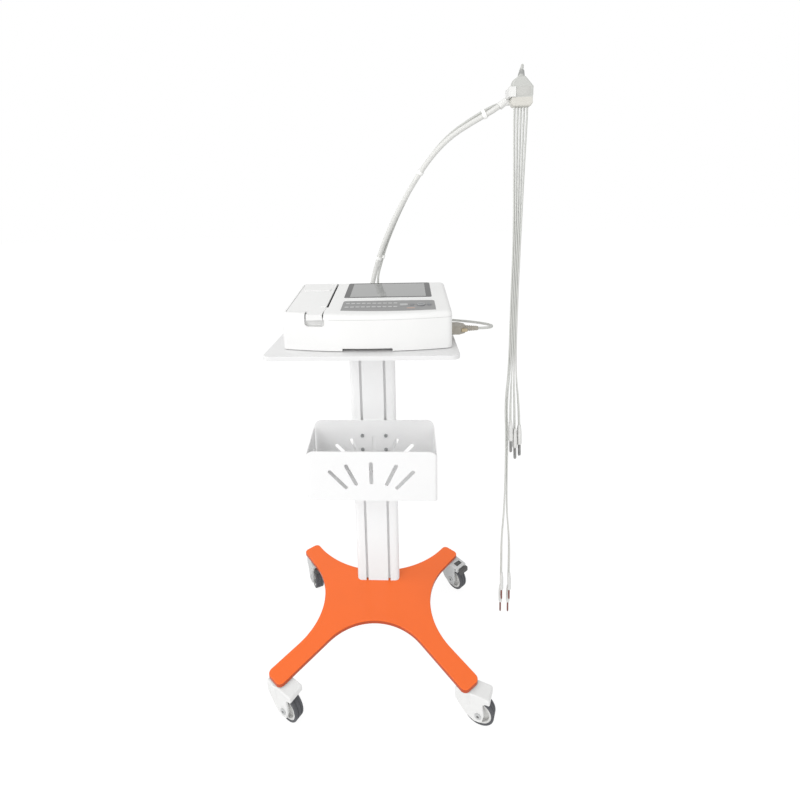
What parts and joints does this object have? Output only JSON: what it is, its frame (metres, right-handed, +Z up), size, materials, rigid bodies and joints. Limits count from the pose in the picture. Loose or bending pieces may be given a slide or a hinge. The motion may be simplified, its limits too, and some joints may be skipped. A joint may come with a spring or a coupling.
{
  "type": "ecg machine",
  "caption": "Desktop ECG recorder with screen, keypad and paper door on a wheeled column stand, with tray, basket, bent cable boom and hanging patient leads.",
  "frame": {"origin": "on the floor under the middle of the rigid object's box, measured without the free cables, plugs and leads", "axes": "+X to the right as seen from the operator's side, +Y to the back, +Z up"},
  "size_m": [0.5622, 0.4252, 1.3469],
  "materials": {
    "base_paint": "satin powder coat",
    "column_paint": "white powder coat",
    "sheet_paint": "fine powder coat",
    "zinc": "plated",
    "castor_white": "moulded",
    "hub_grey": "moulded",
    "tyre_grey": "matt",
    "pedal_grey": "moulded",
    "case_white": "fine texture",
    "glass_grey": "clear window with a printed grey border",
    "display_grey": "matt display",
    "keypad_grey": "matt film",
    "key_grey": "matt",
    "rubber_black": "matt",
    "head_black": "dark",
    "paper_white": "thermal paper",
    "board_green": "circuit board",
    "battery_blue": "shrink wrap",
    "socket_black": "moulded",
    "plug_grey": "moulded",
    "thumb_beige": "moulded",
    "boom_white": "ribbed sleeve",
    "clip_white": "moulded",
    "cable_grey": "smooth jacket",
    "boot_grey": "moulded"
  },
  "bodies": {
    "stand": {"base_plate": "base_paint", "castor_stems": "zinc", "column": "column_paint", "column_bolts": "zinc", "column_head": "sheet_paint", "tray": "sheet_paint", "tray_screws": "zinc", "basket": "sheet_paint", "basket_screws": "zinc", "basket_nuts": "zinc", "boom_socket": "boom_white", "lower_case": "case_white", "upper_case": "case_white", "screen_glass": "glass_grey", "display": "display_grey", "keypad": "keypad_grey", "main_board": "board_green", "battery": "battery_blue", "print_head": "head_black", "paper_roll": "paper_white", "case_feet": "rubber_black", "patient_socket": "socket_black", "power_inlet": "socket_black", "ground_stud": "zinc", "plug_hood": "plug_grey", "plug_screws": "thumb_beige", "cable_lower": "cable_grey"},
    "castor_front_left": {"fork_front_left": "castor_white", "axle_front_left": "zinc"},
    "wheel_front_left": {"hub_front_left": "hub_grey", "tyre_front_left": "tyre_grey"},
    "castor_front_right": {"fork_front_right": "castor_white", "axle_front_right": "zinc"},
    "wheel_front_right": {"hub_front_right": "hub_grey", "tyre_front_right": "tyre_grey"},
    "castor_rear_left": {"fork_rear_left": "castor_white", "axle_rear_left": "zinc"},
    "wheel_rear_left": {"hub_rear_left": "hub_grey", "tyre_rear_left": "tyre_grey"},
    "brake_rear_left": {"pedal_rear_left": "pedal_grey"},
    "castor_rear_right": {"fork_rear_right": "castor_white", "axle_rear_right": "zinc"},
    "wheel_rear_right": {"hub_rear_right": "hub_grey", "tyre_rear_right": "tyre_grey"},
    "brake_rear_right": {"pedal_rear_right": "pedal_grey"},
    "door": {"paper_door": "case_white"},
    "roller": {"platen_roller": "rubber_black"},
    "key_wide": {"key_wide": "key_grey"},
    "key_small": {"key_small": "key_grey"},
    "key_side": {"key_side": "key_grey"},
    "key_pad": {"key_pad": "key_grey"},
    "boom_arm": {"boom": "boom_white", "boom_clips": "clip_white", "block_holder": "clip_white", "cable_upper": "cable_grey", "junction_block": "plug_grey", "chest_leads": "cable_grey", "limb_leads": "cable_grey", "lead_boots": "boot_grey", "lead_pins": "zinc"}
  },
  "joints": [
    {"name": "swivel_front_left", "type": "hinge", "parent": "stand", "child": "castor_front_left", "pos_m": [-0.24693, -0.1703, 0.082], "axis": [0, 0, 1], "continuous": true},
    {"name": "roll_front_left", "type": "hinge", "parent": "castor_front_left", "child": "wheel_front_left", "pos_m": [-0.22344, -0.18555, 0.0315], "axis": [0.5446, 0.8387, 0], "continuous": true},
    {"name": "swivel_front_right", "type": "hinge", "parent": "stand", "child": "castor_front_right", "pos_m": [0.15693, -0.1703, 0.082], "axis": [0, 0, 1], "continuous": true},
    {"name": "roll_front_right", "type": "hinge", "parent": "castor_front_right", "child": "wheel_front_right", "pos_m": [0.1829, -0.18079, 0.0315], "axis": [0.3746, 0.9272, 0], "continuous": true},
    {"name": "swivel_rear_left", "type": "hinge", "parent": "stand", "child": "castor_rear_left", "pos_m": [-0.24071, 0.18601, 0.082], "axis": [0, 0, 1], "continuous": true},
    {"name": "roll_rear_left", "type": "hinge", "parent": "castor_rear_left", "child": "wheel_rear_left", "pos_m": [-0.22888, 0.16063, 0.0315], "axis": [0.9063, 0.4226, 0], "continuous": true},
    {"name": "brake_rear_left", "type": "hinge", "parent": "castor_rear_left", "child": "brake_rear_left", "pos_m": [-0.22254, 0.14704, 0.072], "axis": [0.9063, 0.4226, 0], "range_deg": [0, 10]},
    {"name": "swivel_rear_right", "type": "hinge", "parent": "stand", "child": "castor_rear_right", "pos_m": [0.15072, 0.18601, 0.082], "axis": [0, 0, 1], "continuous": true},
    {"name": "roll_rear_right", "type": "hinge", "parent": "castor_rear_right", "child": "wheel_rear_right", "pos_m": [0.16945, 0.1652, 0.0315], "axis": [0.7431, 0.6691, 0], "continuous": true},
    {"name": "brake_rear_right", "type": "hinge", "parent": "castor_rear_right", "child": "brake_rear_right", "pos_m": [0.17949, 0.15405, 0.072], "axis": [0.7431, 0.6691, 0], "range_deg": [0, 10]},
    {"name": "door_hinge", "type": "hinge", "parent": "stand", "child": "door", "pos_m": [-0.1845, -0.0521, 0.89594], "axis": [0, -0.9935, -0.1142], "range_deg": [0, 95]},
    {"name": "roller_spin", "type": "hinge", "parent": "door", "child": "roller", "pos_m": [-0.118, -0.03839, 0.89047], "axis": [0, 0.9935, 0.1142], "continuous": true},
    {"name": "press_key_wide", "type": "slide", "parent": "stand", "child": "key_wide", "axis": [0, 0.1142, -0.9935], "range_m": [0, 0.0008], "stiffness_N_per_m": 600},
    {"name": "press_key_small", "type": "slide", "parent": "stand", "child": "key_small", "axis": [0, 0.1142, -0.9935], "range_m": [0, 0.0008], "stiffness_N_per_m": 600},
    {"name": "press_key_side", "type": "slide", "parent": "stand", "child": "key_side", "axis": [0, 0.1142, -0.9935], "range_m": [0, 0.0008], "stiffness_N_per_m": 600},
    {"name": "press_key_pad", "type": "slide", "parent": "stand", "child": "key_pad", "axis": [0, 0.1142, -0.9935], "range_m": [0, 0.0008], "stiffness_N_per_m": 600},
    {"name": "boom_swivel", "type": "hinge", "parent": "stand", "child": "boom_arm", "pos_m": [-0.045, 0.10526, 0.835], "axis": [0, 0, 1], "range_deg": [-20, 90]}
  ]
}
